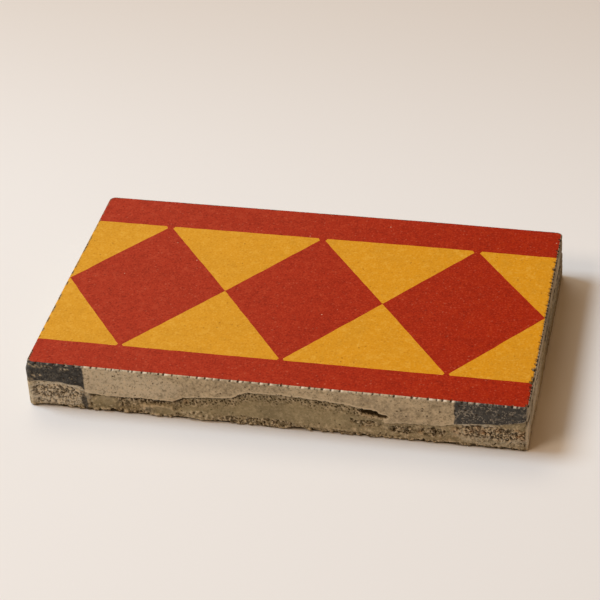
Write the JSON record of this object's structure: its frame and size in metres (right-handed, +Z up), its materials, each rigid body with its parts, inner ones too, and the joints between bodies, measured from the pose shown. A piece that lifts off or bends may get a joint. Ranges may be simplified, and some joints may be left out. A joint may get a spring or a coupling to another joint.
{
  "type": "cement border tile",
  "caption": "Flat rectangular pressed cement border tile with a row of diamonds in its pigmented face, eased upper edges and bare, chipped sides, laid flat in a bed along a floor's edge.",
  "frame": {"origin": "centre of the underside", "axes": "+X along the tile, -Y out of the front side, +Z up out of the patterned face"},
  "size_m": [0.165, 0.1, 0.018],
  "materials": {
    "pressed_cement": "matt pressed cement, bare grey-tan sides and underside, face pigmented red and yellow"
  },
  "bodies": {
    "root": {"border_tile": "pressed_cement"}
  },
  "joints": []
}
